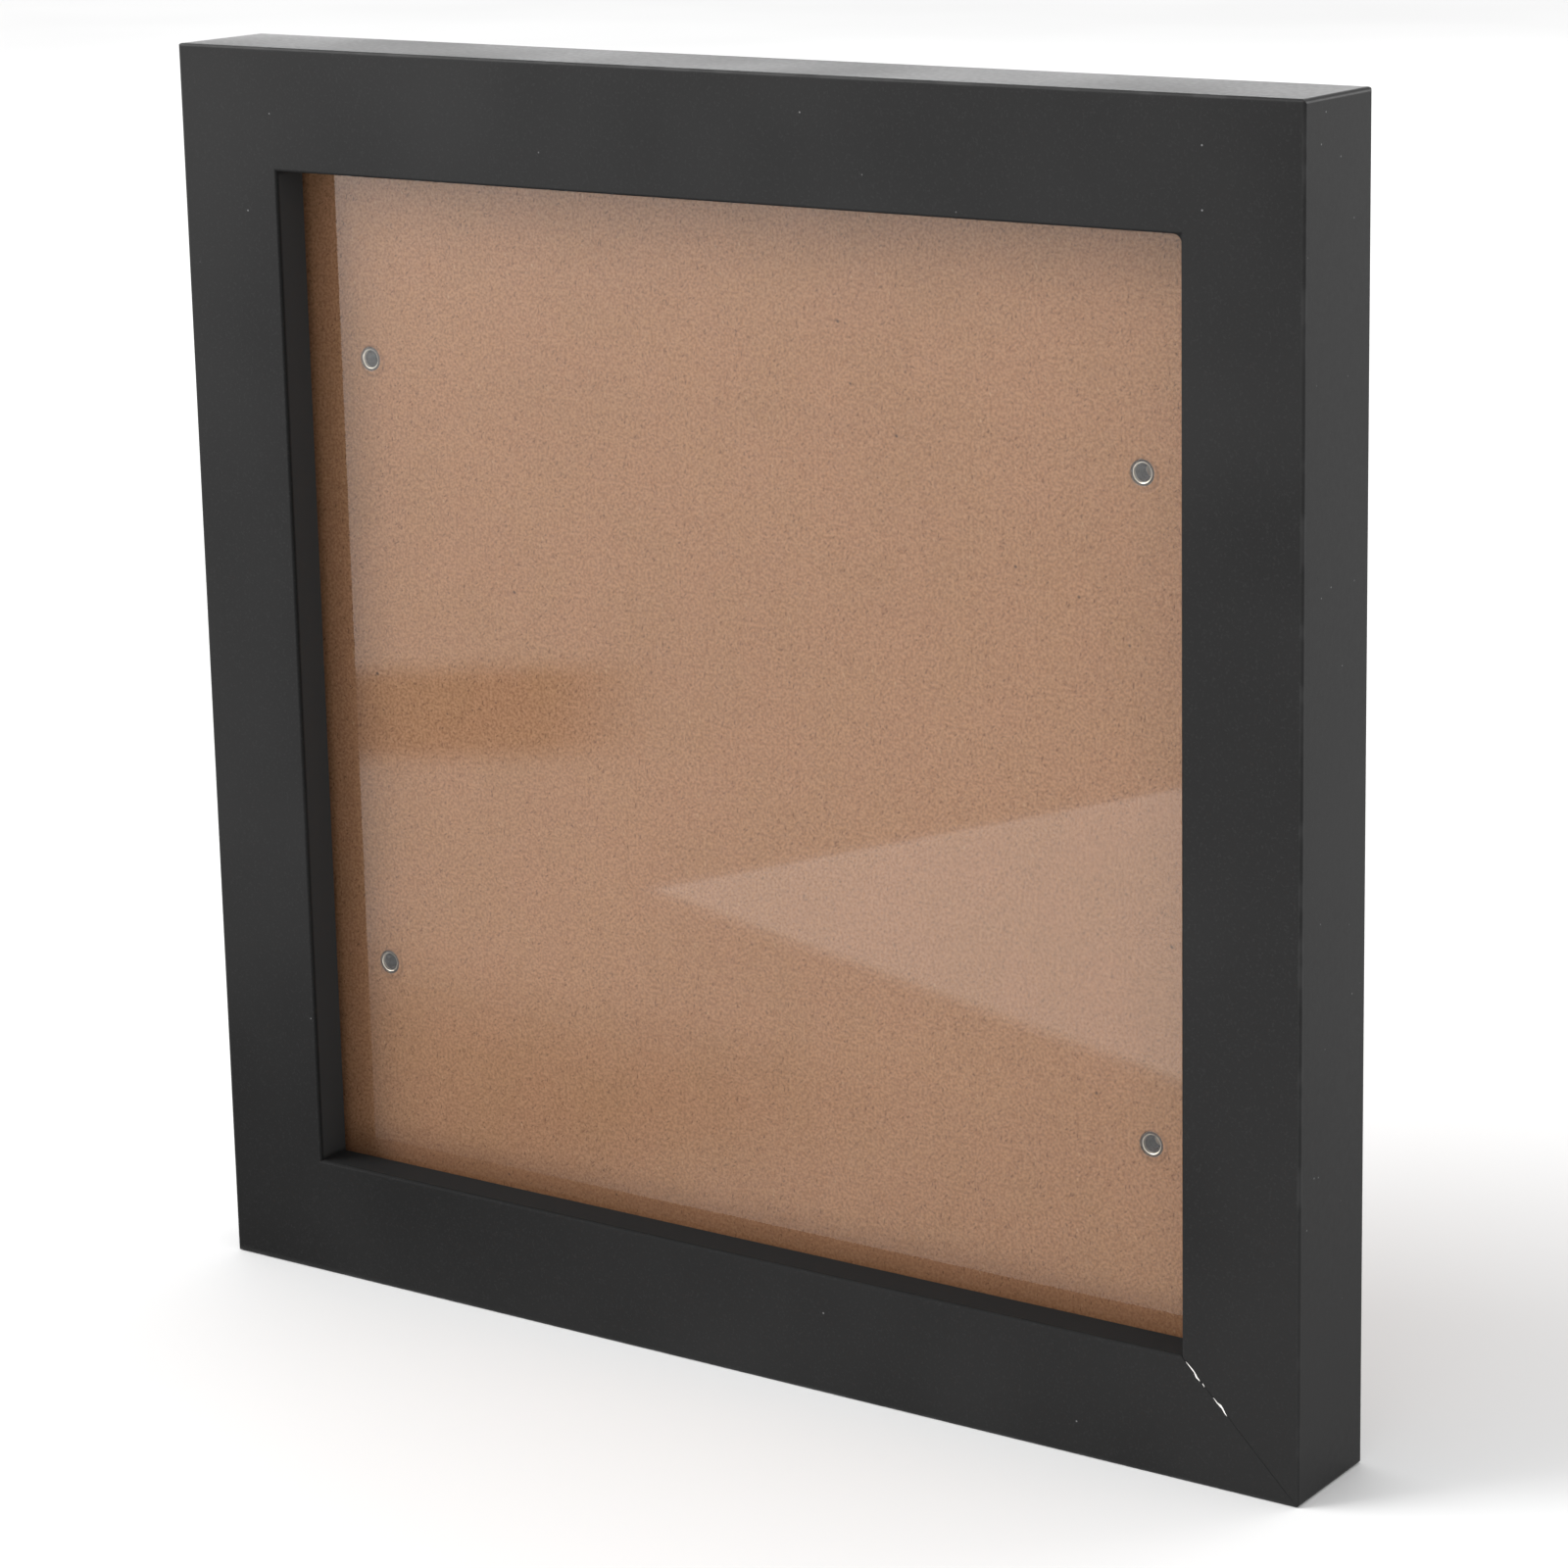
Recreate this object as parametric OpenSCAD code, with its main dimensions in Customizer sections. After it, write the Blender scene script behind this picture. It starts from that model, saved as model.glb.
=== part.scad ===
// Square shadow box: a mitred frame with a glass pane set behind its front lip, a fibreboard
// back held by riveted turn clips, and a toothed hanging plate on the rear of the top rail.
// Millimetres. +Z is up, the front looks along -Y, and the origin is the middle of the
// bottom face that the box stands on.

/* [Frame] */
// Outer width and height of the square frame
outer = 230; // [200:1:330]
// Width of the front face of each rail
face_w = 22; // [20:0.5:30]
// Depth of the frame from front to back
depth = 22; // [22:0.5:40]
// Thickness of the lip that stands in front of the glass
lip_t = 7; // [4:0.5:9]
// How far the lip reaches over the glass
lip_reach = 7.5; // [6:0.5:8]
// Radius of the painted arrises along the rails
arris_r = 0.5; // [0.2:0.1:1]
// Radius of the four outer corners
corner_r = 0.8; // [0.3:0.1:2]
// Radius of the paint fillet in the top right corner of the opening
fillet_r = 1.6; // [0.6:0.1:2]

/* [Glass and back] */
// Thickness of the glass pane
glass_t = 2; // [1.5:0.5:2.5]
// Free play around the glass pane, on each side
glass_play = 0.5; // [0.3:0.1:1]
// Play between the lip and the pane, which stands against the back
glass_slack = 1; // [0:0.1:1.5]
// Thickness of the fibreboard back
back_t = 3; // [2.5:0.5:3.5]
// Free play around the fibreboard back, on each side
back_play = 0.75; // [0.3:0.05:1]

/* [Turn clips] */
// Distance from the rebate wall in to the rivets
clip_inset = 19.2; // [18:0.1:22]
// Half the distance between the upper and lower rivets
clip_half_z = 56.8; // [40:0.1:65]
// How far the left rivets sit up, and the right rivets down
clip_skew = 3.1; // [0:0.1:5]
// How far the middle of the rivets sits below the middle of the frame
clip_low = 1.1; // [0:0.1:4]
// How far the upper rivets sit in, and the lower ones out
clip_splay = 0.7; // [0:0.1:1]
// Width of the spring strip
clip_w = 9; // [7:0.5:12]
// Thickness of the spring strip
clip_t = 0.8; // [0.6:0.1:0.9]
// How far the strip's tip is cranked back from its riveted end
clip_crank = 0.8; // [0.5:0.1:1]
// Width of the groove that the tips turn into
groove_w = 2; // [1.8:0.1:2.4]
// Depth of that groove into the rail
groove_deep = 5; // [4.5:0.5:6]

/* [Rivets] */
// Radius of the rivet shank
shank_r = 1.5; // [1.2:0.1:1.5]
// Running clearance between the shank and the clip
shank_play = 0.06; // [0.03:0.01:0.1]
// Radius of the hollow in the shank
hollow_r = 1.1; // [0.8:0.1:1.1]
// Radius of the domed head behind the clip
head_r = 3; // [2.5:0.1:4]
// Height of the domed head
head_t = 1.1; // [0.8:0.1:1.5]
// Outer radius of the ring rolled over on the front of the back
ring_r = 2.1; // [2:0.1:2.4]
// Radius of the ring's rolled edge
roll_r = 0.26; // [0.2:0.02:0.3]

/* [Hanging plate] */
// Length of the toothed plate
hanger_w = 44; // [36:1:60]
// Height of the toothed plate
hanger_h = 9; // [8:0.5:11]
// Thickness of the toothed plate
hanger_t = 0.8; // [0.6:0.1:1]
// Number of hanging notches
notches = 9; // [5:2:11]

/* [Hidden] */

$fn = 96;
arc_steps = 6;   // straight pieces in a quarter turn of a rounded outline
beyond = 1;      // how far a cutting shape runs past what it cuts

// Sides of the frame, in the order that a quarter turn takes one to the next.
BOTTOM = 0;
SIDE_LEFT = 1;
TOP = 2;
SIDE_RIGHT = 3;

// Signs that place a rivet and its clip.
LEFT = -1;
RIGHT = 1;
LOWER = -1;
UPPER = 1;

// Across the front: half sizes from the middle of the frame.
half = outer / 2;
opening_half = half - face_w;
rebate_half = opening_half + lip_reach;
wall_t = face_w - lip_reach;

// From front to back.
front_y = -depth / 2;
rear_y = depth / 2;
glass_y = front_y + lip_t + glass_slack;
back_y = glass_y + glass_t;
back_rear_y = back_y + back_t;

// The clip turns between the rear of the back and the rivet's head.
strip_gap = 0.15;
strip_y = back_rear_y + strip_gap;
grip = back_t + 2 * strip_gap + clip_t;
tip_gap = 1.5;
clip_reach = clip_inset - clip_splay + groove_deep - tip_gap;
tip_middle_y = strip_y + clip_crank + clip_t / 2;
groove_at = tip_middle_y - groove_w / 2 - front_y;

// The rolled ring sits in a shallow sinking, just below the face that the glass lies on.
ring_middle_r = ring_r - roll_r;
ring_y = roll_r + 0.06;
sink_deep = ring_y + roll_r + 0.1;
sink_r = ring_r + 0.15;

// Rivet centres across the front.
function rivet_at(side, row) = [
    side * (rebate_half - clip_inset - row * clip_splay),
    row * clip_half_z - side * clip_skew - clip_low
];

// Points along a circular arc, for the rounded edge of an outline.
function arc(centre, r, from, to) = [
    for (i = [0:arc_steps])
        let (a = from + (to - from) * i / arc_steps)
        centre + r * [cos(a), sin(a)]
];

// Section of a rail: depth from the front, then distance in from the outer face. Going round:
// the front face between its two arrises, the lip, the rebate wall with its groove, the rear.
RAIL_SECTION = concat(
    arc([arris_r, arris_r], arris_r, 270, 180),
    arc([arris_r, face_w - arris_r], arris_r, 180, 90),
    [
        [lip_t, face_w],
        [lip_t, wall_t],
        [groove_at, wall_t],
        [groove_at, wall_t - groove_deep],
        [groove_at + groove_w, wall_t - groove_deep],
        [groove_at + groove_w, wall_t],
        [depth, wall_t]
    ],
    arc([depth - arris_r, arris_r], arris_r, 0, -90)
);

// Gives a flat front-view outline its body, from one depth to another.
module slab(from_y, to_y) {
    translate([0, to_y, 0])
        rotate([90, 0, 0])
            linear_extrude(to_y - from_y)
                children();
}

// Lifts what is drawn about the middle of the frame, so that the frame stands at z = 0.
module raise() {
    translate([0, 0, half])
        children();
}

// Carries what is drawn at the bottom of the frame to another side.
module on_side(side) {
    rotate([0, 90 * side, 0])
        children();
}

// Square with round corners, in true arcs.
module soft_square(half_side, r) {
    inner = half_side - r;
    square([2 * half_side, 2 * inner], center = true);
    square([2 * inner, 2 * half_side], center = true);
    for (sx = [-1, 1], sz = [-1, 1])
        translate([sx * inner, sz * inner])
            circle(r);
}

// What lies between the two mitres of the bottom rail.
module mitre_wedge() {
    reach = half + beyond;
    slab(front_y - beyond, rear_y + beyond)
        polygon([[0, 0], [-reach, -reach], [reach, -reach]]);
}

// Paint that has filled the corner of the opening, drawn at its lower right corner.
module paint_fillet() {
    inner = opening_half - fillet_r;
    slab(front_y + arris_r, glass_y)
        difference() {
            translate([inner, -opening_half - beyond])
                square(fillet_r + beyond);
            translate([inner, -inner])
                circle(fillet_r);
        }
}

// Two wedge nails across the lower left mitre, driven flush with the rear of the frame.
nail_leg = 7;
nail_wall = 0.7;
nail_deep = 8;
module nail_pair() {
    slab(rear_y - nail_deep, rear_y)
        for (place = [0.3, 0.65]) {
            at = -half + place * wall_t;
            translate([at, at]) {
                square([nail_leg, nail_wall]);
                square([nail_wall, nail_leg]);
            }
        }
}

// Rail of one side: its section drawn along it, mitred at both ends, and cut for the nails.
module rail(side) {
    color([0.13, 0.13, 0.14])
        raise()
            on_side(side)
                difference() {
                    intersection() {
                        union() {
                            rotate([90, 0, 90])
                                linear_extrude(outer, center = true)
                                    translate([front_y, -half])
                                        polygon(RAIL_SECTION);
                            if (side == TOP || side == SIDE_RIGHT)
                                on_side(SIDE_RIGHT - side)
                                    paint_fillet();
                        }
                        mitre_wedge();
                        slab(front_y - beyond, rear_y + beyond)
                            soft_square(half, corner_r);
                    }
                    nail_pair();
                    on_side(SIDE_RIGHT)
                        nail_pair();
                }
}

module corner_nails(mitre) {
    color("silver")
        raise()
            on_side(mitre)
                nail_pair();
}

// The pane stands on the lower rebate, so all of its upright play is above it.
module glass_pane() {
    side = 2 * (rebate_half - glass_play);
    color([0.8, 0.85, 0.85, 0.35])
        raise()
            translate([-side / 2, glass_y, -rebate_half])
                cube([side, glass_t, side]);
}

// Moves a shape to a rivet, with y = 0 on the front face of the back and +Z along +Y.
module at_rivet(side, row) {
    at = rivet_at(side, row);
    translate([at[0], back_y, at[1]])
        rotate([-90, 0, 0])
            children();
}

// The board that closes the rear, drilled for the rivets and sunk for their rings.
board_corner_r = 1.5;
board_rest = 0.15;   // gap under the board, which all but stands on the lower rebate
module back_panel() {
    color([0.50, 0.36, 0.26])
        raise()
            difference() {
                translate([0, 0, board_rest - back_play])
                    slab(back_y, back_rear_y)
                        soft_square(rebate_half - back_play, board_corner_r);
                for (side = [LEFT, RIGHT], row = [LOWER, UPPER])
                    at_rivet(side, row) {
                        cylinder(h = back_t + beyond, r = shank_r);
                        translate([0, 0, -beyond])
                            cylinder(h = sink_deep + beyond, r = sink_r);
                    }
            }
}

// Hollow rivet: a ring rolled over in front, a plain shank, and a closed domed head behind.
flare_deep = 0.9;   // how far the mouth of the hollow tapers in
floor_t = 0.5;      // thickness that closes the hollow
head_rim = 0.25;    // height of the head's straight rim
module rivet(side, row) {
    color("silver")
        raise()
            at_rivet(side, row)
                rotate_extrude() {
                    translate([ring_middle_r, ring_y])
                        circle(roll_r, $fn = 32);
                    polygon([
                        [hollow_r, ring_y + flare_deep],
                        [ring_middle_r - roll_r / 2, ring_y],
                        [ring_middle_r, ring_y + roll_r],
                        [shank_r, sink_deep],
                        [shank_r, grip],
                        [hollow_r, grip]
                    ]);
                    translate([0, grip - floor_t])
                        square([hollow_r, floor_t]);
                    polygon(concat(
                        [[0, grip]],
                        [for (p = arc([0, 0], 1, 0, 90))
                            [head_r * p[0], grip + head_rim + (head_t - head_rim) * p[1]]],
                        [[0, grip]]
                    ));
                    translate([0, grip])
                        square([head_r, head_rim]);
                }
}

// Spring strip with a round end about its rivet, cranked back towards the tip. It is drawn
// released, hanging straight down: a quarter turn outwards takes its tip into the groove.
crank_from = 7;
crank_to = 10;
tip_r = 3;
module clip(side, row) {
    at = rivet_at(side, row);
    half_w = clip_w / 2;
    behind = clip_t + clip_crank;
    color("silver")
        raise()
            translate([at[0], strip_y, at[1]])
                difference() {
                    intersection() {
                        rotate([90, 0, 90])
                            linear_extrude(clip_w + beyond, center = true)
                                polygon([
                                    [0, half_w + beyond],
                                    [clip_t, half_w + beyond],
                                    [clip_t, -crank_from],
                                    [behind, -crank_to],
                                    [behind, -clip_reach - beyond],
                                    [clip_crank, -clip_reach - beyond],
                                    [clip_crank, -crank_to],
                                    [0, -crank_from]
                                ]);
                        slab(-beyond, behind + beyond) {
                            circle(half_w);
                            translate([-half_w, tip_r - clip_reach])
                                square([clip_w, clip_reach - tip_r]);
                            translate([tip_r - half_w, -clip_reach])
                                square([clip_w - 2 * tip_r, 2 * tip_r]);
                            for (sx = [-1, 1])
                                translate([sx * (half_w - tip_r), tip_r - clip_reach])
                                    circle(tip_r);
                        }
                    }
                    rotate([-90, 0, 0])
                        translate([0, 0, -beyond])
                            cylinder(h = clip_t + 2 * beyond, r = shank_r + shank_play);
                }
}

// Toothed plate on the rear of the top rail: its lower edge has notches for a wall nail.
hanger_z = half - wall_t / 2;
hanger_nail_x = hanger_w / 2 - 4;
hanger_nail_r = 0.9;
notch_pitch = 2.4;
notch_h = 1.6;
lower_cut = 3;
upper_cut = 2;
module sawtooth_hanger() {
    side_x = hanger_w / 2;
    edge_z = hanger_h / 2;
    teeth_from = -notches * notch_pitch / 2;
    teeth = [
        for (i = [0:notches - 1]) each [
            [teeth_from + (i + 0.5) * notch_pitch, notch_h - edge_z],
            [teeth_from + (i + 1) * notch_pitch, -edge_z]
        ]
    ];
    color("silver")
        raise()
            translate([0, 0, hanger_z])
                difference() {
                    slab(rear_y, rear_y + hanger_t)
                        polygon(concat(
                            [
                                [-side_x, lower_cut - edge_z],
                                [lower_cut - side_x, -edge_z],
                                [teeth_from, -edge_z]
                            ],
                            teeth,
                            [
                                [side_x - lower_cut, -edge_z],
                                [side_x, lower_cut - edge_z],
                                [side_x, edge_z - upper_cut],
                                [side_x - upper_cut, edge_z],
                                [upper_cut - side_x, edge_z],
                                [-side_x, edge_z - upper_cut]
                            ]
                        ));
                    for (sx = [-1, 1])
                        translate([sx * hanger_nail_x, rear_y - beyond, 0])
                            rotate([-90, 0, 0])
                                cylinder(h = hanger_t + 2 * beyond, r = hanger_nail_r);
                }
}

// The two round-headed nails that hold the toothed plate.
hanger_nail_len = 9;
hanger_head_r = 1.8;
hanger_head_t = 0.9;
module hanger_nails() {
    color("silver")
        raise()
            for (sx = [-1, 1])
                translate([sx * hanger_nail_x, rear_y + hanger_t, hanger_z])
                    rotate([-90, 0, 0])
                        rotate_extrude()
                            polygon([
                                [0, hanger_head_t],
                                [hanger_head_r * 0.6, hanger_head_t * 0.7],
                                [hanger_head_r, 0],
                                [hanger_nail_r, 0],
                                [hanger_nail_r, 1.5 - hanger_nail_len],
                                [0, -hanger_nail_len]
                            ]);
}

rail(BOTTOM);  // rail_bottom
rail(SIDE_LEFT);  // rail_left
rail(TOP);  // rail_top
rail(SIDE_RIGHT);  // rail_right
corner_nails(BOTTOM);  // corner_nails_bl
corner_nails(SIDE_LEFT);  // corner_nails_tl
corner_nails(TOP);  // corner_nails_tr
corner_nails(SIDE_RIGHT);  // corner_nails_br
glass_pane();
back_panel();
rivet(LEFT, UPPER);  // rivet_tl
rivet(RIGHT, UPPER);  // rivet_tr
rivet(LEFT, LOWER);  // rivet_bl
rivet(RIGHT, LOWER);  // rivet_br
clip(LEFT, UPPER);  // clip_tl
clip(RIGHT, UPPER);  // clip_tr
clip(LEFT, LOWER);  // clip_bl
clip(RIGHT, LOWER);  // clip_br
sawtooth_hanger();
hanger_nails();
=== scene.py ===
"""Looks, light and camera for the shadow box. Metres, in the row's frame: +Z up, front at -Y."""

import math

import bmesh
import bpy
from mathutils import Matrix, Vector


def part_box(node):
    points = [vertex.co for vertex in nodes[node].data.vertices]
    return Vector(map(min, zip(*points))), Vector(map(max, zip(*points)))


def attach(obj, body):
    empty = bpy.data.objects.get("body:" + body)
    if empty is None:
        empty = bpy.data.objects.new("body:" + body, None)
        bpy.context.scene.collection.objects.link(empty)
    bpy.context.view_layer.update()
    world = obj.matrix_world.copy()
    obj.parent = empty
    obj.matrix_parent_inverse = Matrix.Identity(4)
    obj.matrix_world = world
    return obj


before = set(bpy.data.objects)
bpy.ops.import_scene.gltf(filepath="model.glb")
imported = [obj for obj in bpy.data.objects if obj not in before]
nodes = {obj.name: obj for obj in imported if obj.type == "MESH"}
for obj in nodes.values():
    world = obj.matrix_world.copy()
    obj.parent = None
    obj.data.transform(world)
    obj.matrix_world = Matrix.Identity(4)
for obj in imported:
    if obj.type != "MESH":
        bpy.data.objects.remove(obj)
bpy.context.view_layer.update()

MM = 0.001
RAILS = ("rail_bottom", "rail_left", "rail_top", "rail_right")
CORNERS = ("tl", "tr", "bl", "br")

# Sizes that the looks need. All but the groove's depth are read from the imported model.
frame_low, frame_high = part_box("rail_right")
left_low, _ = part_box("rail_left")
glass_low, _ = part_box("glass_pane")
_, board_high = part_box("back_panel")
HALF = (frame_high.x - left_low.x) / 2
MIDDLE_Z = HALF
FRONT_Y = frame_low.y
REAR_Y = frame_high.y
FACE_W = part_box("rail_bottom")[1].z
OPENING_HALF = HALF - FACE_W
GLASS_Y = glass_low.y
REBATE_HALF = MIDDLE_Z - glass_low.z
GROOVE_DEEP = 5 * MM

DARK_FIBRE = (0.085, 0.036, 0.019, 1.0)


# ---------------------------------------------------------------- shader building


class Graph:
    """A material's node tree, with a short call for each kind of step."""

    def __init__(self, name):
        self.material = bpy.data.materials.new(name)
        self.material.use_nodes = True
        self.tree = self.material.node_tree
        self.tree.nodes.clear()
        self.output = self.add("ShaderNodeOutputMaterial")
        self.place = self.add("ShaderNodeTexCoord").outputs["Object"]
        self.x, self.y, self.z = self.split(self.place)

    def add(self, kind, **settings):
        node = self.tree.nodes.new(kind)
        for key, value in settings.items():
            setattr(node, key, value)
        return node

    def feed(self, socket, value):
        if isinstance(value, bpy.types.NodeSocket):
            self.tree.links.new(value, socket)
        else:
            socket.default_value = value

    def split(self, vector):
        node = self.add("ShaderNodeSeparateXYZ")
        self.feed(node.inputs[0], vector)
        return node.outputs

    def math(self, operation, a, b=0.0):
        node = self.add("ShaderNodeMath", operation=operation)
        self.feed(node.inputs[0], a)
        self.feed(node.inputs[1], b)
        return node.outputs[0]

    def step(self, value, low, high, out_low=0.0, out_high=1.0):
        """Smooth step: out_low below low and out_high above high."""
        node = self.add("ShaderNodeMapRange", interpolation_type="SMOOTHSTEP")
        for key, given in zip(
            ("Value", "From Min", "From Max", "To Min", "To Max"),
            (value, low, high, out_low, out_high),
        ):
            self.feed(node.inputs[key], given)
        return node.outputs["Result"]

    def band(self, value, low, high, soft):
        """1 between low and high, falling to 0 over soft on each side."""
        return self.math(
            "MULTIPLY",
            self.step(value, low - soft, low),
            self.step(value, high, high + soft, 1.0, 0.0),
        )

    def spread(self, sizes, turn=0.0, shift=0.0):
        """Coordinates whose unit is the given sizes in metres, turned in the board's plane."""
        node = self.add("ShaderNodeMapping", vector_type="TEXTURE")
        self.feed(node.inputs["Vector"], self.place)
        node.inputs["Location"].default_value = (shift, 1.7 * shift, 0.6 * shift)
        node.inputs["Rotation"].default_value = (0.0, math.radians(turn), 0.0)
        node.inputs["Scale"].default_value = sizes
        return node.outputs[0]

    def noise(self, scale, detail=2.0, rough=0.5, at=None, distortion=0.0):
        node = self.add("ShaderNodeTexNoise")
        self.feed(node.inputs["Vector"], self.place if at is None else at)
        node.inputs["Scale"].default_value = scale
        node.inputs["Detail"].default_value = detail
        node.inputs["Roughness"].default_value = rough
        node.inputs["Distortion"].default_value = distortion
        return node.outputs[0]

    def distance(self, x, z):
        """How far a point is from a line through x and z, straight from front to rear."""
        dx = self.math("SUBTRACT", self.x, x)
        dz = self.math("SUBTRACT", self.z, z)
        squares = self.math("ADD", self.math("MULTIPLY", dx, dx), self.math("MULTIPLY", dz, dz))
        return self.math("SQRT", squares)

    def cells(self, scale, at=None):
        """Scattered cells: the distance to the nearest one's middle, and a colour for each."""
        node = self.add("ShaderNodeTexVoronoi", feature="F1")
        self.feed(node.inputs["Vector"], self.place if at is None else at)
        node.inputs["Scale"].default_value = scale
        return node

    def mix(self, share, a, b):
        """Colour a where share is 0 and b where it is 1."""
        node = self.add("ShaderNodeMix", data_type="RGBA")
        self.feed(node.inputs[0], share)
        self.feed(node.inputs[6], a)
        self.feed(node.inputs[7], b)
        return node.outputs[2]

    def bump(self, height, distance, strength=1.0, under=None):
        node = self.add("ShaderNodeBump")
        self.feed(node.inputs["Height"], height)
        node.inputs["Distance"].default_value = distance
        node.inputs["Strength"].default_value = strength
        if under is not None:
            self.feed(node.inputs["Normal"], under)
        return node.outputs[0]

    def principled(self, **values):
        """A Principled shader; underscores in a name stand for spaces."""
        node = self.add("ShaderNodeBsdfPrincipled")
        for key, value in values.items():
            self.feed(node.inputs[key.replace("_", " ")], value)
        return node.outputs[0]

    def finish(self, shader):
        self.feed(self.output.inputs["Surface"], shader)
        return self.material


def grey(level):
    return (level, level, level, 1.0)


def fibres(g, length, width, turn, shift):
    """Felted grain: soft streaks of the given length and width, lying at one angle."""
    streaks = g.noise(1.0, 1.0, 0.6, at=g.spread((length, width, width), turn, shift))
    return g.step(streaks, 0.28, 0.74)


def specks(g, pitch, reach, share, shift, turn=0.0, slender=1.0):
    """Mask of scattered specks. Of the cells, pitch metres wide, a share holds a speck, which
    reaches a part of the cell's width and is drawn out by the slender factor."""
    cell = g.cells(1.0, g.spread((slender * pitch, pitch, pitch), turn, shift))
    chance, luck, _ = g.split(cell.outputs["Color"])
    size = g.step(luck, 0.0, 1.0, 0.45 * reach, reach)
    speck = g.step(g.math("SUBTRACT", size, cell.outputs["Distance"]), 0.0, 0.35 * reach)
    return g.math("MULTIPLY", speck, g.step(chance, 1 - share, 1.01 - share))


def dark_dots(g):
    return specks(g, 1.2 * MM, 0.23, 0.4, 57 * MM)


def most(g, masks):
    """The largest of several masks."""
    largest = masks[0]
    for mask in masks[1:]:
        largest = g.math("MAXIMUM", largest, mask)
    return largest


# ---------------------------------------------------------------- materials


def fibreboard_colour(g):
    """Colour and height of the board's face: a felt of fine fibres with dark specks and hairs."""
    cloudy = g.step(g.noise(22, 1.0, 0.55), 0.35, 0.68)
    tint = g.step(g.noise(75, 1.0, 0.5), 0.35, 0.65)
    colour = g.mix(cloudy, (0.275, 0.136, 0.069, 1.0), (0.300, 0.149, 0.077, 1.0))
    colour = g.mix(g.math("MULTIPLY", tint, 0.4), colour, (0.305, 0.139, 0.080, 1.0))

    felt = most(
        g, [fibres(g, 1.6 * MM, 0.42 * MM, turn, 0.3 * turn * MM) for turn in (15, 80, 140)]
    )
    grain = g.step(g.noise(1900, 1.0, 0.6), 0.3, 0.72)
    colour = g.mix(g.math("MULTIPLY", felt, 0.55), colour, (0.385, 0.200, 0.113, 1.0))
    colour = g.mix(g.math("MULTIPLY", grain, 0.62), colour, (0.160, 0.071, 0.036, 1.0))

    hairs = most(
        g,
        [
            specks(g, 0.7 * MM, 0.2, 0.5, 31 * MM * k, turn, 3.6)
            for k, turn in enumerate((35, 75, 98, 140))
        ],
    )
    dots = dark_dots(g)
    knots = specks(g, 3.0 * MM, 0.16, 0.30, 91 * MM, 35, 1.3)
    pale = specks(g, 1.4 * MM, 0.11, 0.35, 123 * MM, 70, 3.0)
    colour = g.mix(g.math("MULTIPLY", pale, 0.35), colour, (0.47, 0.31, 0.19, 1.0))
    colour = g.mix(g.math("MULTIPLY", hairs, 0.68), colour, DARK_FIBRE)
    colour = g.mix(g.math("MULTIPLY", dots, 0.8), colour, DARK_FIBRE)
    colour = g.mix(g.math("MULTIPLY", knots, 0.9), colour, (0.06, 0.032, 0.022, 1.0))
    height = g.math("SUBTRACT", grain, dots)
    return colour, height


def bare_edge_colour(g):
    """The same board seen in the rails' cut rebates, where it is only sawn."""
    sawn = g.step(g.noise(1300, 2.0, 0.6), 0.3, 0.72)
    colour = g.mix(sawn, (0.345, 0.178, 0.096, 1.0), (0.215, 0.100, 0.052, 1.0))
    dots = dark_dots(g)
    return g.mix(g.math("MULTIPLY", dots, 0.7), colour, DARK_FIBRE)


def board_material():
    """The back board, pressed in round each rivet, with painted shade towards the lower and left
    lips and in the dents, and a painted shadow ring round each rivet.
    """
    g = Graph("fibreboard")
    colour, height = fibreboard_colour(g)
    rings = []
    dents_and_shade = []
    for corner in CORNERS:
        centre = rivet_centre(corner)
        radius = g.distance(centre.x, centre.z)
        # Painted shadow: a thin dark ring on the board round each rivet.
        rings.append(g.band(radius, 2.0 * MM, 2.15 * MM, 0.1 * MM))
        # Beside each rivet, to the right and below: a dent, darkened with painted shade.
        beside = g.distance(centre.x + 0.5 * MM, centre.z - 0.4 * MM)
        dents_and_shade.append(g.band(beside, 2.5 * MM, 2.75 * MM, 0.3 * MM))
    ring = most(g, rings)
    dent_and_shade = most(g, dents_and_shade)
    # Painted shade: the board darkens towards the lower lip and, more faintly, the left lip.
    low_edge = g.step(g.z, MIDDLE_Z - OPENING_HALF, MIDDLE_Z - OPENING_HALF + 9 * MM, 0.5, 0.0)
    left_edge = g.step(g.x, -OPENING_HALF, -OPENING_HALF + 9 * MM, 0.2, 0.0)
    painted_lip_shade = g.math("MAXIMUM", low_edge, left_edge)
    colour = g.mix(painted_lip_shade, colour, (0.12, 0.048, 0.022, 1.0))
    colour = g.mix(g.math("MULTIPLY", dent_and_shade, 0.3), colour, (0.14, 0.07, 0.04, 1.0))
    colour = g.mix(g.math("MULTIPLY", ring, 0.6), colour, (0.03, 0.018, 0.012, 1.0))
    roughness = g.step(height, -0.6, 1.0, 0.62, 0.8)
    normal = g.bump(height, 0.03 * MM, 0.6)
    normal = g.bump(g.math("SUBTRACT", 1.0, dent_and_shade), 0.1 * MM, 0.7, under=normal)
    return g.finish(
        g.principled(
            Base_Color=colour,
            Roughness=roughness,
            Specular_IOR_Level=0.06,
            Normal=normal,
        )
    )


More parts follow.
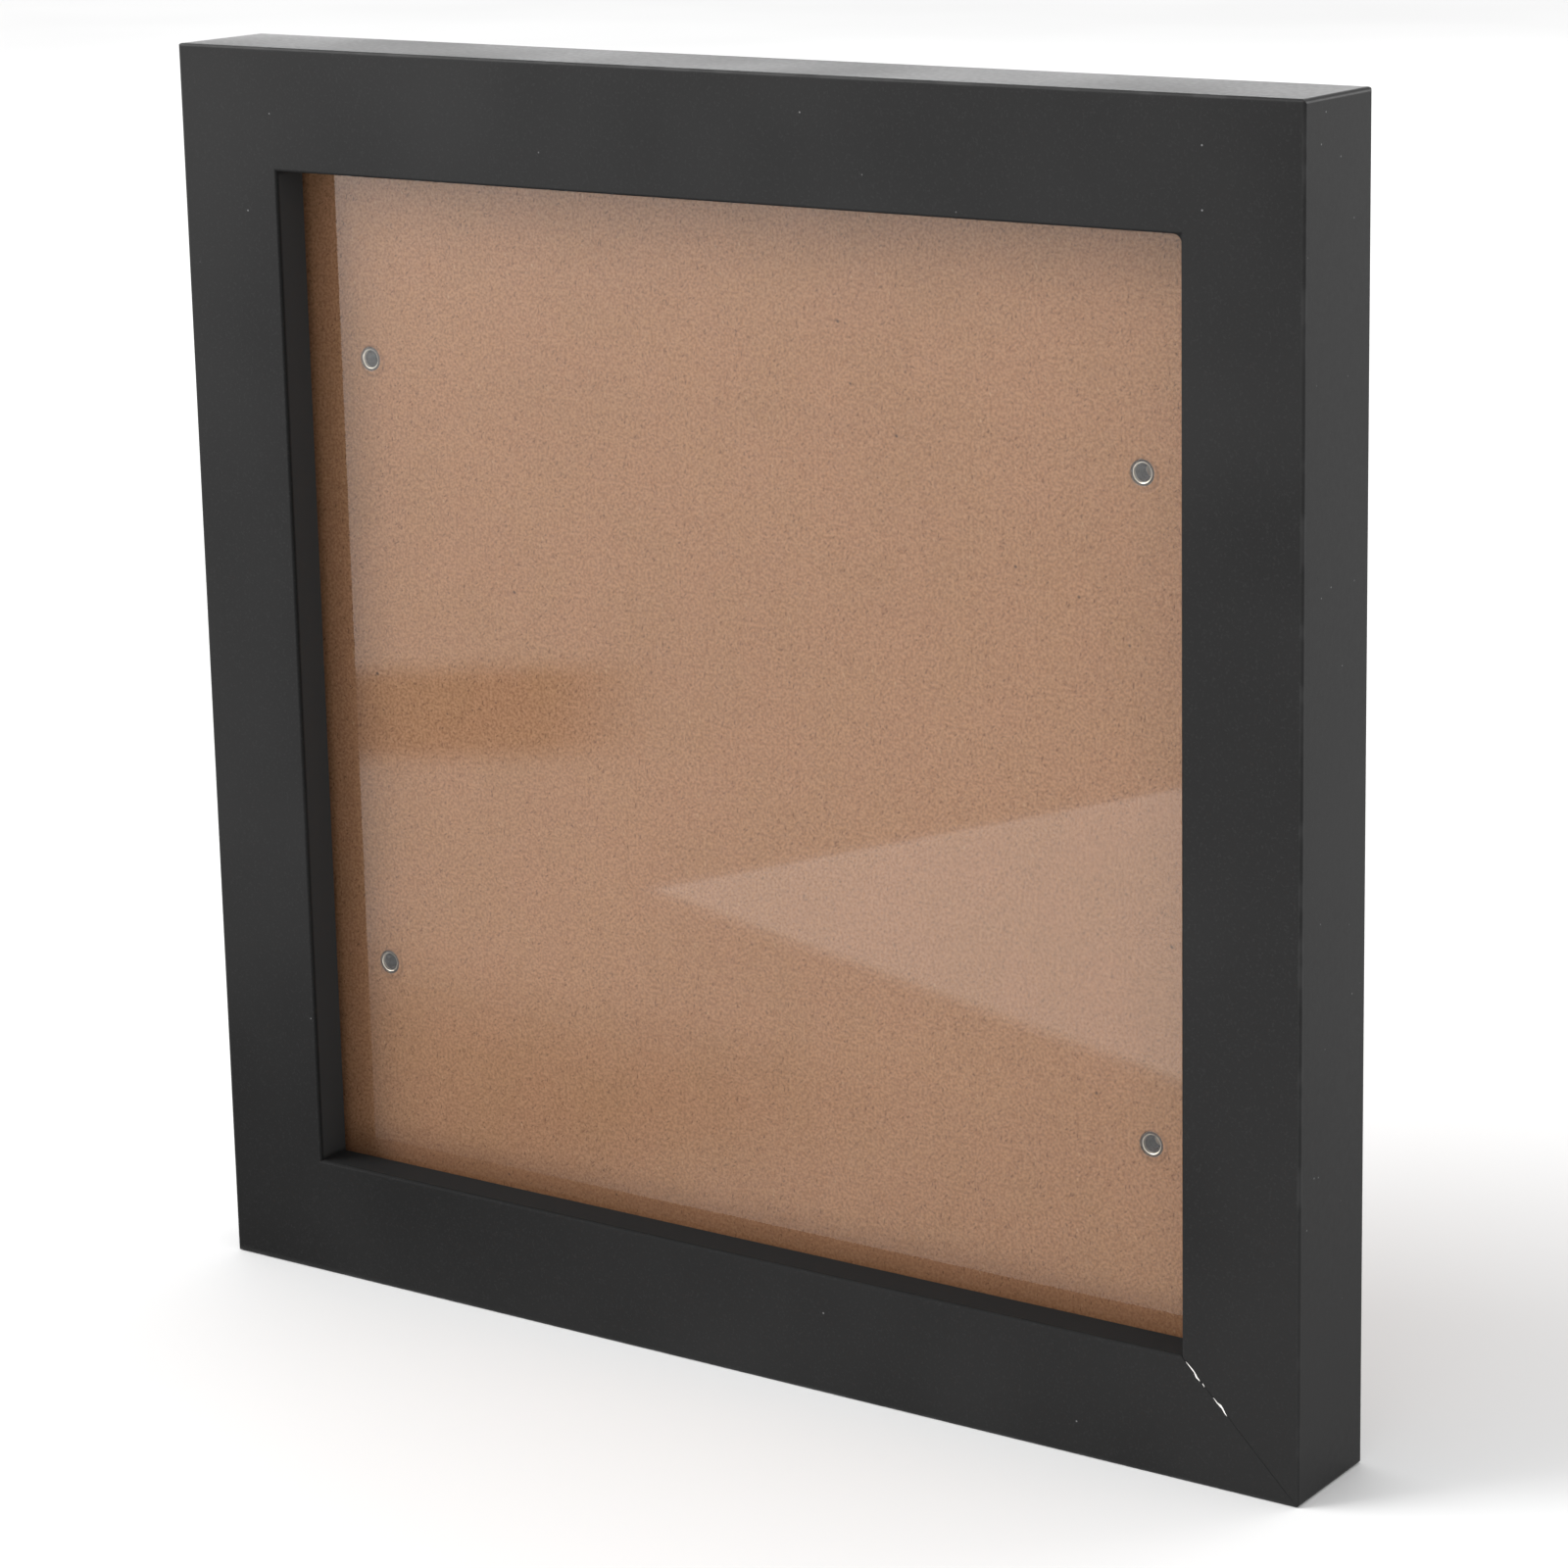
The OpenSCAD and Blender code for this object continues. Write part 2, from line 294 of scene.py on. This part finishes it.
def paint_material():
    """Satin black paint on fibreboard rails: worn arrises, dust, bare rebates, mitre seams."""
    g = Graph("black_paint")
    up = g.math("SUBTRACT", g.z, MIDDLE_Z)
    out = g.math("MAXIMUM", g.math("ABSOLUTE", g.x), g.math("ABSOLUTE", up))

    # Paint film: cloudy sheen, orange peel and grit.
    clouds = g.noise(14, 2.0, 0.6)
    peel = g.noise(900, 1.0, 0.5)
    grit = g.noise(2600, 1.0, 0.6)
    film = g.mix(g.step(clouds, 0.35, 0.7), grey(0.009), grey(0.0138))
    film = g.mix(g.math("MULTIPLY", g.step(grit, 0.55, 0.75), 0.35), film, grey(0.026))
    roughness = g.step(g.math("ADD", clouds, g.math("MULTIPLY", peel, 0.35)), 0.45, 0.9, 0.34, 0.44)

    # Rubbed arrises, outside and round the opening.
    near_front = g.step(g.y, FRONT_Y + 0.35 * MM, FRONT_Y + 0.95 * MM, 1.0, 0.0)
    outer_edge = g.step(out, HALF - 0.75 * MM, HALF - 0.2 * MM)
    inner_edge = g.step(out, OPENING_HALF + 0.15 * MM, OPENING_HALF + 0.7 * MM, 1.0, 0.0)
    edges = g.math("MULTIPLY", near_front, outer_edge)
    matt_edge = g.math("MULTIPLY", near_front, inner_edge)
    patchy = g.step(g.noise(160, 1.0, 0.65), 0.46, 0.68)
    rubbed = g.math("MULTIPLY", edges, g.math("ADD", 0.25, g.math("MULTIPLY", patchy, 0.6)))
    film = g.mix(rubbed, film, grey(0.032))

    # The lip's inner wall is duller, and painted light makes its upright walls lighter than its top
    # and bottom walls.
    lip_wall = g.step(out, OPENING_HALF + 0.3 * MM, OPENING_HALF + 0.5 * MM, 1.0, 0.0)
    lip_wall = g.math("MULTIPLY", lip_wall, g.step(g.y, FRONT_Y + 0.4 * MM, FRONT_Y + 1.0 * MM))
    lit_uprights = g.step(g.math("SUBTRACT", g.math("ABSOLUTE", g.x), g.math("ABSOLUTE", up)), 0.0, MM)
    film = g.mix(lip_wall, film, g.mix(lit_uprights, grey(0.014), grey(0.036)))
    roughness = g.mix(lip_wall, roughness, grey(0.65))
    roughness = g.mix(matt_edge, roughness, grey(0.85))

    # Specks of pale dust.
    speck = g.cells(330)
    speck_size = g.step(speck.outputs["Distance"], 0.035, 0.07, 1.0, 0.0)
    rare = g.step(g.split(speck.outputs["Color"])[0], 0.955, 0.965)
    dust = g.math("MULTIPLY", speck_size, rare)
    film = g.mix(g.math("MULTIPLY", dust, 0.32), film, grey(0.42))

    # Mitre seams: one open on the front at the lower right, all four on the unfilled rear.
    across_down = g.math("ABSOLUTE", g.math("ADD", g.x, up))
    across_up = g.math("ABSOLUTE", g.math("SUBTRACT", g.x, up))
    wander = g.math("MULTIPLY", g.math("SUBTRACT", g.noise(300, 0.0), 0.5), 0.18 * MM)
    seam_front = g.step(g.math("ADD", across_down, wander), 0.04 * MM, 0.14 * MM, 1.0, 0.0)
    seam_front = g.math("MULTIPLY", seam_front, g.step(g.y, 0.0, MM, 1.0, 0.0))
    fading = g.step(g.x, OPENING_HALF + 4 * MM, OPENING_HALF + 12 * MM, 0.85, 0.5)
    fading = g.math("MULTIPLY", fading, g.step(g.x, 0.0, MM))
    seam_front = g.math("MULTIPLY", seam_front, fading)
    behind = g.step(g.y, REAR_Y - 0.6 * MM, REAR_Y - 0.3 * MM)
    nearest = g.math("MINIMUM", across_down, across_up)
    seam_rear = g.step(g.math("ADD", nearest, wander), 0.08 * MM, 0.24 * MM, 1.0, 0.0)
    seam = g.math("MAXIMUM", seam_front, g.math("MULTIPLY", seam_rear, behind))
    film = g.mix(seam, film, grey(0.002))

    # The rebate wall and its groove are bare board, with overspray in from the rear.
    bare_in = g.band(out, REBATE_HALF - 0.1 * MM, REBATE_HALF + GROOVE_DEEP + 0.1 * MM, 0.2 * MM)
    deep_in = g.band(g.y, GLASS_Y + 0.3 * MM, REAR_Y - 2.2 * MM, 1.6 * MM)
    spray = g.math("MULTIPLY", g.math("SUBTRACT", g.noise(240, 2.0, 0.7), 0.5), 0.9)
    bare = g.step(g.math("ADD", g.math("MULTIPLY", bare_in, deep_in), spray), 0.42, 0.62)
    bare = g.math("MULTIPLY", bare, bare_in)
    colour = g.mix(bare, film, bare_edge_colour(g))
    roughness = g.mix(bare, roughness, grey(0.8))

    skin = g.math("ADD", g.math("MULTIPLY", peel, 0.007), g.math("MULTIPLY", grit, 0.003))
    normal = g.bump(g.math("SUBTRACT", skin, g.math("MULTIPLY", seam, 0.12)), MM)
    return g.finish(
        g.principled(
            Base_Color=colour,
            Roughness=roughness,
            Specular_IOR_Level=0.12,
            Normal=normal,
        )
    )


def glass_material():
    """Clear float glass that lets the studio light through to the board."""
    g = Graph("clear_glass")
    smear = g.step(g.noise(30, 4.0, 0.6, distortion=1.2), 0.5, 0.85, 0.0, 0.035)
    glass = g.principled(
        Base_Color=(0.985, 0.995, 0.99, 1.0),
        Roughness=smear,
        IOR=1.5,
        Transmission_Weight=1.0,
    )
    clear = g.add("ShaderNodeBsdfTransparent")
    clear.inputs["Color"].default_value = (0.90, 0.92, 0.91, 1.0)
    path = g.add("ShaderNodeLightPath").outputs
    mixed = g.add("ShaderNodeMixShader")
    g.feed(mixed.inputs[0], g.math("MAXIMUM", path["Is Shadow Ray"], path["Is Diffuse Ray"]))
    g.feed(mixed.inputs[1], glass)
    g.feed(mixed.inputs[2], clear.outputs[0])
    return g.finish(mixed.outputs[0])


def plated_material(name, low, high, rough, brushed=(1.0, 1.0, 1.0), stain=0.3):
    """Plated steel: brush marks drawn out along one axis, cloudy tarnish, and small dull pits."""
    g = Graph(name)
    scratch = g.noise(1.0, 3.0, 0.7, at=g.spread(tuple(1.1 * MM * b for b in brushed)))
    cloud = g.noise(340, 3.0, 0.6)
    pits = g.step(g.noise(2400, 2.0, 0.5), 0.68, 0.78)
    colour = g.mix(g.step(scratch, 0.3, 0.7), low, high)
    dull = tuple(c * 0.45 for c in low[:3]) + (1.0,)
    colour = g.mix(g.math("MULTIPLY", g.step(cloud, 0.5, 0.75), stain), colour, dull)
    colour = g.mix(g.math("MULTIPLY", pits, 0.5), colour, dull)
    uneven = g.math("ADD", cloud, g.math("MULTIPLY", scratch, 0.4))
    roughness = g.step(uneven, 0.5, 0.95, rough, rough + 0.2)
    normal = g.bump(scratch, 0.008 * MM, 0.6)
    normal = g.bump(g.math("SUBTRACT", 1.0, pits), 0.02 * MM, 0.5, under=normal)
    return g, colour, roughness, normal


def metal_material(name, low, high, rough, brushed=(1.0, 1.0, 1.0), stain=0.3):
    g, colour, roughness, normal = plated_material(name, low, high, rough, brushed, stain)
    shader = g.principled(Base_Color=colour, Metallic=1.0, Roughness=roughness, Normal=normal)
    return g.finish(shader)


def rivet_centre(corner):
    low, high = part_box(f"rivet_{corner}")
    return (low + high) / 2


def rivet_material(corner):
    """Nickel with a painted highlight on the crest of the rolled ring and a painted glint in the
    hollow; the rest of its front is painted shade, darkest in the hollow.
    """
    g, colour, roughness, normal = plated_material(
        f"rivet_nickel_{corner}", (0.50, 0.43, 0.36, 1.0), (0.68, 0.60, 0.51, 1.0), 0.3
    )
    centre = rivet_centre(corner)
    radius = g.distance(centre.x, centre.z)
    # Painted highlight: a bright band on the crest of the roll and a bright glint in the hollow.
    crest = g.band(radius, 1.62 * MM, 1.74 * MM, 0.09 * MM)
    from_glint = g.distance(centre.x + 0.1 * MM, centre.z + 0.55 * MM)
    glint = g.step(from_glint, 0.12 * MM, 0.34 * MM, 1.0, 0.0)
    in_front = g.step(g.y, board_high.y, board_high.y + 0.2 * MM, 1.0, 0.0)
    painted_highlight = g.math("MAXIMUM", crest, glint)
    # Painted shade: the rest of the rivet's front is dark, darkest in the hollow.
    painted_shade = g.math("MULTIPLY", g.math("SUBTRACT", 1.0, painted_highlight), in_front)
    outside = g.step(radius, 1.7 * MM, 1.85 * MM)
    painted_shade_colour = g.mix(outside, (0.014, 0.006, 0.003, 1.0), (0.034, 0.018, 0.010, 1.0))
    colour = g.mix(painted_shade, colour, painted_shade_colour)
    roughness = g.mix(painted_shade, roughness, grey(0.6))
    metallic = g.step(painted_shade, 0.0, 1.0, 1.0, 0.0)
    return g.finish(
        g.principled(
            Base_Color=colour,
            Metallic=metallic,
            Roughness=roughness,
            Specular_IOR_Level=0.1,
            Normal=normal,
        )
    )


def filler_material():
    """Chalky white filler that shows where the paint has chipped off."""
    g = Graph("chalky_filler")
    crumbs = g.noise(2500, 3.0, 0.6)
    colour = g.mix(g.step(crumbs, 0.3, 0.7), (0.55, 0.54, 0.51, 1.0), (0.86, 0.85, 0.82, 1.0))
    normal = g.bump(crumbs, 0.03 * MM, 0.8)
    roughness = g.step(crumbs, 0.3, 0.7, 0.75, 0.92)
    return g.finish(g.principled(Base_Color=colour, Roughness=roughness, Normal=normal))


def floor_material():
    g = Graph("studio_floor")
    tone = g.step(g.noise(3, 2.0), 0.3, 0.7)
    colour = g.mix(tone, grey(0.75), grey(0.78))
    return g.finish(g.principled(Base_Color=colour, Roughness=0.75))


def dress(node, material):
    """Gives a CAD node its one material."""
    mesh = nodes[node].data
    mesh.materials.clear()
    mesh.materials.append(material)
    for polygon in mesh.polygons:
        polygon.material_index = 0


def dress_all():
    paint = paint_material()
    for rail in RAILS:
        dress(rail, paint)
    dress("glass_pane", glass_material())
    dress("back_panel", board_material())
    clip_steel = metal_material(
        "clip_steel", (0.40, 0.40, 0.41, 1.0), (0.56, 0.56, 0.57, 1.0), 0.3, (1.0, 1.0, 16.0)
    )
    nail_steel = metal_material(
        "nail_steel", (0.30, 0.30, 0.31, 1.0), (0.45, 0.45, 0.46, 1.0), 0.38, stain=0.6
    )
    hanger_zinc = metal_material(
        "hanger_zinc", (0.50, 0.49, 0.46, 1.0), (0.66, 0.65, 0.61, 1.0), 0.26, (16.0, 1.0, 1.0)
    )
    for corner in CORNERS:
        dress(f"clip_{corner}", clip_steel)
        dress(f"corner_nails_{corner}", nail_steel)
        dress(f"rivet_{corner}", rivet_material(corner))
    dress("sawtooth_hanger", hanger_zinc)
    dress("hanger_nails", nail_steel)


# ---------------------------------------------------------------- small pieces


def chip(name, spine, material):
    """A sliver of bare filler on the lower right mitre. The spine's points are millimetres out from
    the opening's corner, millimetres to the right of the seam, and the sliver's width there."""
    out = Vector((1, 0, -1)).normalized()
    side = Vector((1, 0, 1)).normalized()
    corner = Vector((OPENING_HALF, FRONT_Y, MIDDLE_Z - OPENING_HALF))
    proud = Vector((0, -0.01 * MM, 0))
    mesh = bmesh.new()
    rows = []
    for along, aside, width in spine:
        middle = corner + (out * along + side * aside) * MM
        edge = side * (width / 2 * MM)
        rows.append([mesh.verts.new(p) for p in (middle - edge, middle + proud, middle + edge)])
    for near, far in zip(rows, rows[1:]):
        for k in range(2):
            mesh.faces.new((near[k], near[k + 1], far[k + 1], far[k]))
    bmesh.ops.recalc_face_normals(mesh, faces=mesh.faces)
    data = bpy.data.meshes.new(name)
    mesh.to_mesh(data)
    mesh.free()
    data.materials.append(material)
    piece = bpy.data.objects.new(name, data)
    bpy.context.scene.collection.objects.link(piece)
    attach(piece, "frame")


CHIPS = {
    "mitre_chip_near": (
        (1.2, 0.0, 0.08),
        (2.3, 0.06, 0.17),
        (3.25, 0.08, 0.2),
        (3.8, -0.06, 0.3),
        (4.3, -0.2, 0.33),
        (5.05, -0.13, 0.1),
    ),
    "mitre_chip_crumb": ((5.65, 0.0, 0.07), (5.95, -0.05, 0.16), (6.3, -0.13, 0.05)),
    "mitre_chip_far": (
        (8.6, 0.0, 0.06),
        (9.6, -0.02, 0.2),
        (10.25, 0.14, 0.42),
        (10.85, 0.14, 0.3),
        (11.55, -0.04, 0.22),
        (12.25, -0.11, 0.08),
    ),
}


def add_chips():
    filler = filler_material()
    for name, spine in CHIPS.items():
        chip(name, spine, filler)


# ---------------------------------------------------------------- studio


FLOOR_RADIUS = 14

# name: place, turn in degrees, half length, half width, level, glow, soft edge, lean
SHEETS = {
    # Painted light: this sheet glows and shows only as a pale reflection in the glass.
    "glowing_sheet": ((-0.012, -0.287, 0.002), 18.3, 0.15, 0.115, 0.75, 1.3, 0.010, 0.082),
    # Painted shadow: this dark sheet stands for the box's shadow on the floor, seen only in the
    # glass.
    "box_shadow_sheet": ((-0.18, -0.06, 0.001), 8, 0.14, 0.12, 0.22, 0.0, 0.075, 0.0),
    "grey_card": ((-0.362, -0.338, 0.003), -35, 0.08, 0.075, 0.04, 0.0, 0.045, 0.0),
}

# name: place, size, watts, whether it lights surfaces or only shows in their gloss
SOFTBOXES = {
    "key": ((-2.7, -1.9, 2.4), (2.2, 2.2), 135, True),
    "front_sheen": ((-1.7, -1.9, 0.65), (1.6, 0.5), 20, True),
    "side_sheen": ((1.3, 2.3, 0.75), (1.4, 0.9), 16, True),
    "top_sheen": ((-1.35, 2.2, 0.5), (2.2, 0.7), 10, False),
}

# The camera looks from the right and a little above. Angles are in degrees.
CAMERA_AZIMUTH = 33.42
CAMERA_ELEVATION = 12.63
CAMERA_ROLL = -0.82
CAMERA_DISTANCE = 0.7292
CAMERA_AIM = Vector((0.0436, FRONT_Y, MIDDLE_Z + 0.0248))
CAMERA_LENS = 101.32
CAMERA_SHIFT = (-0.0875, -0.1)


def add_floor():
    bpy.ops.mesh.primitive_circle_add(
        vertices=96, radius=FLOOR_RADIUS, fill_type="NGON", location=(0, 0, 0)
    )
    floor = bpy.context.object
    floor.name = "studio_floor"
    floor.data.materials.append(floor_material())


def sheet_material(name, level, glow, half_x, half_y, soft, lean):
    """A sheet whose brightness fades out towards its edges, for a soft-edged reflection."""
    g = Graph(name)
    across = g.math("ADD", g.x, g.math("MULTIPLY", g.y, lean))
    inside_x = g.step(g.math("ABSOLUTE", across), half_x - soft, half_x, 1.0, 0.0)
    inside_y = g.step(g.math("ABSOLUTE", g.y), half_y - soft, half_y, 1.0, 0.0)
    inside = g.math("MULTIPLY", inside_x, inside_y)
    shader = g.principled(
        Base_Color=grey(level),
        Roughness=0.8,
        Emission_Color=(1.0, 1.0, 1.0, 1.0),
        Emission_Strength=glow,
    )
    clear = g.add("ShaderNodeBsdfTransparent")
    mixed = g.add("ShaderNodeMixShader")
    g.feed(mixed.inputs[0], inside)
    g.feed(mixed.inputs[1], clear.outputs[0])
    g.feed(mixed.inputs[2], shader)
    return g.finish(mixed.outputs[0])


def add_sheet(name, place, turn, half_x, half_y, level, glow, soft, lean):
    """A studio sheet lying on the floor in front, which shows only as a reflection in the glass."""
    mesh = bmesh.new()
    corners = ((-half_x, -half_y), (half_x, -half_y), (half_x, half_y), (-half_x, half_y))
    mesh.faces.new([mesh.verts.new((x - lean * y, y, 0.0)) for x, y in corners])
    data = bpy.data.meshes.new(name)
    mesh.to_mesh(data)
    mesh.free()
    data.materials.append(sheet_material(name, level, glow, half_x, half_y, soft, lean))
    sheet = bpy.data.objects.new(name, data)
    sheet.location = place
    sheet.rotation_euler = (0.0, 0.0, math.radians(turn))
    sheet.visible_camera = False
    sheet.visible_shadow = False
    sheet.visible_diffuse = False
    bpy.context.scene.collection.objects.link(sheet)


def add_softbox(name, place, size, power, lights_surfaces):
    """A soft area light, aimed at the middle of the box."""
    data = bpy.data.lights.new(name, "AREA")
    data.shape = "RECTANGLE"
    data.size, data.size_y = size
    data.energy = power
    light = bpy.data.objects.new(name, data)
    light.location = place
    light.visible_camera = False
    light.visible_diffuse = lights_surfaces
    light.rotation_mode = "QUATERNION"
    middle = Vector((0, 0, MIDDLE_Z))
    light.rotation_quaternion = (middle - Vector(place)).to_track_quat("-Z", "Y")
    bpy.context.scene.collection.objects.link(light)


def add_light():
    world = bpy.data.worlds.new("studio")
    world.use_nodes = True
    background = world.node_tree.nodes["Background"]
    background.inputs["Color"].default_value = (1.0, 1.0, 1.0, 1.0)
    background.inputs["Strength"].default_value = 1.0
    bpy.context.scene.world = world
    for name, (place, size, power, lights_surfaces) in SOFTBOXES.items():
        add_softbox(name, place, size, power, lights_surfaces)


def add_camera():
    azimuth, elevation, roll = (
        math.radians(angle) for angle in (CAMERA_AZIMUTH, CAMERA_ELEVATION, CAMERA_ROLL)
    )
    back = Vector(
        (
            math.sin(azimuth) * math.cos(elevation),
            -math.cos(azimuth) * math.cos(elevation),
            math.sin(elevation),
        )
    )
    right = Vector((0, 0, 1)).cross(back).normalized()
    up = back.cross(right)
    tilted_right = right * math.cos(roll) + up * math.sin(roll)
    tilted_up = up * math.cos(roll) - right * math.sin(roll)
    data = bpy.data.cameras.new("camera")
    data.sensor_width = 36
    data.lens = CAMERA_LENS
    data.shift_x, data.shift_y = CAMERA_SHIFT
    data.clip_start = 0.01
    camera = bpy.data.objects.new("camera", data)
    turn = Matrix((tilted_right, tilted_up, back)).transposed()
    camera.matrix_world = Matrix.Translation(CAMERA_AIM + back * CAMERA_DISTANCE) @ turn.to_4x4()
    bpy.context.scene.collection.objects.link(camera)
    bpy.context.scene.camera = camera


dress_all()
add_chips()
add_floor()
for sheet_name, values in SHEETS.items():
    add_sheet(sheet_name, *values)
add_light()
add_camera()
bpy.context.scene.view_settings.view_transform = "Standard"
